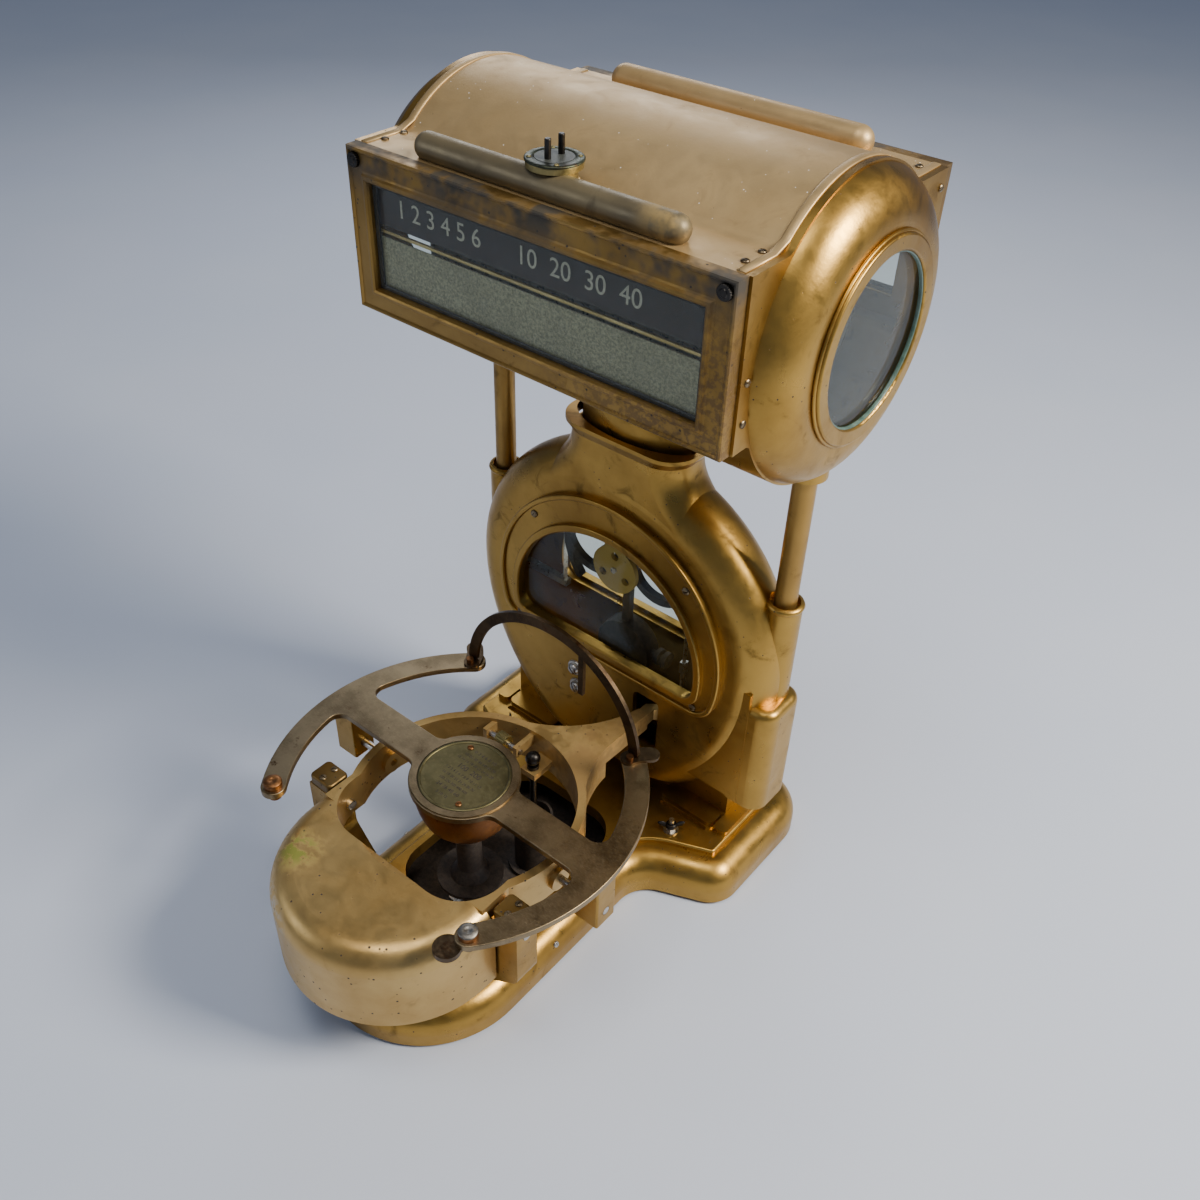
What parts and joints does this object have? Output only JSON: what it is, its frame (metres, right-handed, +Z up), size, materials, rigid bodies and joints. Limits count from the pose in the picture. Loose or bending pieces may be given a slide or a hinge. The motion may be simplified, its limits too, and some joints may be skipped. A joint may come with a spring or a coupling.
{
  "type": "counter scale",
  "caption": "Gold cylinder-dial computing counter scale: windowed drum head with lamp tubes on two posts and a neck, round pendulum case, lever and spider platform on a cast base.",
  "frame": {"origin": "centre of the whole scale's footprint box, on the surface it stands on", "axes": "+Z up, +X to the right as the operator-side window is seen, +Y towards the back"},
  "size_m": [0.432, 0.585, 0.7535],
  "materials": {
    "gold_casting": "worn metallic gold paint over cast iron",
    "gold_sheet": "satin gold paint on sheet metal",
    "dark_frame": "aged gold paint with dark patina",
    "spider_metal": "worn bronze-tinted nickel plate",
    "fence_metal": "dark oxidised plate",
    "copper": "tarnished copper",
    "brass": "tarnished brass",
    "steel": "plain steel",
    "black_steel": "blackened steel",
    "iron": "dark raw iron",
    "glass": "old clear glass",
    "lamp_glass": "frosted lamp glass",
    "band": "dark brown enamel",
    "screen": "frosted screen",
    "aluminium": "thin white-painted aluminium",
    "rubber": "black rubber",
    "fibre": "moulded dark insulation",
    "ochre": "ochre paint"
  },
  "bodies": {
    "housing": {"base_casting": "gold_casting", "bottom_plate": "iron", "case_lenses": "glass", "dashpot_cylinder": "iron", "deck_studs": "steel", "drum_bearings": "iron", "end_cap_left": "gold_casting", "end_cap_right": "gold_casting", "end_glasses": "glass", "end_rings": "gold_casting", "foot_pads": "rubber", "frame_thumbscrews": "black_steel", "front_bezel": "gold_casting", "front_frame": "dark_frame", "front_lamp_tube": "dark_frame", "fulcrum_caps": "dark_frame", "fulcrum_stands": "gold_casting", "head_cover": "gold_sheet", "head_cradle": "gold_sheet", "head_windows": "glass", "housing_bolts": "steel", "housing_case": "gold_casting", "index_bars": "brass", "inlet_cup": "brass", "inlet_insulator": "fibre", "inlet_pins": "steel", "lamp_bulbs": "lamp_glass", "pendulum_bracket": "ochre", "posts": "gold_sheet", "reading_screen": "screen", "rear_bezel": "gold_casting", "rear_frame": "dark_frame", "rear_lamp_tube": "gold_sheet", "round_screws": "brass", "window_band": "band"},
    "lever": {"lever_casting": "gold_casting", "loading_weight": "iron", "knife_pins": "steel", "balance_rod": "steel"},
    "balance_weight": {"balance_nut": "brass"},
    "platform": {"spider_frame": "spider_metal", "hub_cup": "copper", "hub_stem": "iron", "name_plate": "brass", "plate_screws": "steel", "load_bearings": "gold_casting", "fence": "fence_metal", "platter_buttons": "copper"},
    "leaf": {"swivel_leaf": "fence_metal"},
    "check_link": {"check_link": "steel"},
    "dashpot_plunger": {"dashpot_plunger": "brass"},
    "nose_rod": {"nose_rod": "steel"},
    "pendulum": {"pendulum_frame": "iron", "pendulum_shaft": "steel", "pendulum_weight": "iron"},
    "rack": {"rack_rod": "steel"},
    "drum": {"chart_drum": "aluminium", "drum_wheels": "aluminium", "drum_shaft": "steel", "drum_pinion": "brass"}
  },
  "joints": [
    {"name": "drum_turn", "type": "hinge", "parent": "housing", "child": "drum", "pos_m": [0, 0.1435, 0.628], "axis": [1, 0, 0], "range_deg": [0, 314]},
    {"name": "lever_tilt", "type": "hinge", "parent": "housing", "child": "lever", "pos_m": [0, -0.1535, 0.152], "axis": [-1, 0, 0], "range_deg": [0, 4]},
    {"name": "platform_drop", "type": "slide", "parent": "housing", "child": "platform", "axis": [0, 0, -1], "range_m": [0, 0.0045]},
    {"name": "check_link_swing", "type": "hinge", "parent": "housing", "child": "check_link", "pos_m": [0, -0.1535, 0.024], "axis": [-1, 0, 0], "range_deg": [0, 4]},
    {"name": "dashpot_slide", "type": "slide", "parent": "housing", "child": "dashpot_plunger", "axis": [0, 0, -1], "range_m": [0, 0.0105]},
    {"name": "nose_rod_drop", "type": "slide", "parent": "housing", "child": "nose_rod", "axis": [0, 0, -1], "range_m": [0, 0.021]},
    {"name": "pendulum_swing", "type": "hinge", "parent": "housing", "child": "pendulum", "pos_m": [0, 0.1455, 0.32], "axis": [0, 1, 0], "range_deg": [0, 16]},
    {"name": "rack_rise", "type": "slide", "parent": "housing", "child": "rack", "axis": [0, 0, 1], "range_m": [0, 0.0222]},
    {"name": "leaf_swivel", "type": "hinge", "parent": "platform", "child": "leaf", "pos_m": [0.123, -0.2115, 0.194], "axis": [0, 0, 1], "range_deg": [-60, 60]},
    {"name": "balance_slide", "type": "slide", "parent": "lever", "child": "balance_weight", "axis": [1, 0, 0], "range_m": [-0.009, 0.009]}
  ],
  "couplings": [
    {"joint": "lever_tilt", "follows": "drum_turn", "ratio": 0.012709},
    {"joint": "platform_drop", "follows": "drum_turn", "m_per_rad": 0.00081338},
    {"joint": "check_link_swing", "follows": "drum_turn", "ratio": 0.012709},
    {"joint": "dashpot_slide", "follows": "drum_turn", "m_per_rad": 0.0018936},
    {"joint": "nose_rod_drop", "follows": "drum_turn", "m_per_rad": 0.0038},
    {"joint": "pendulum_swing", "follows": "drum_turn", "ratio": 0.05},
    {"joint": "rack_rise", "follows": "drum_turn", "m_per_rad": 0.004}
  ]
}
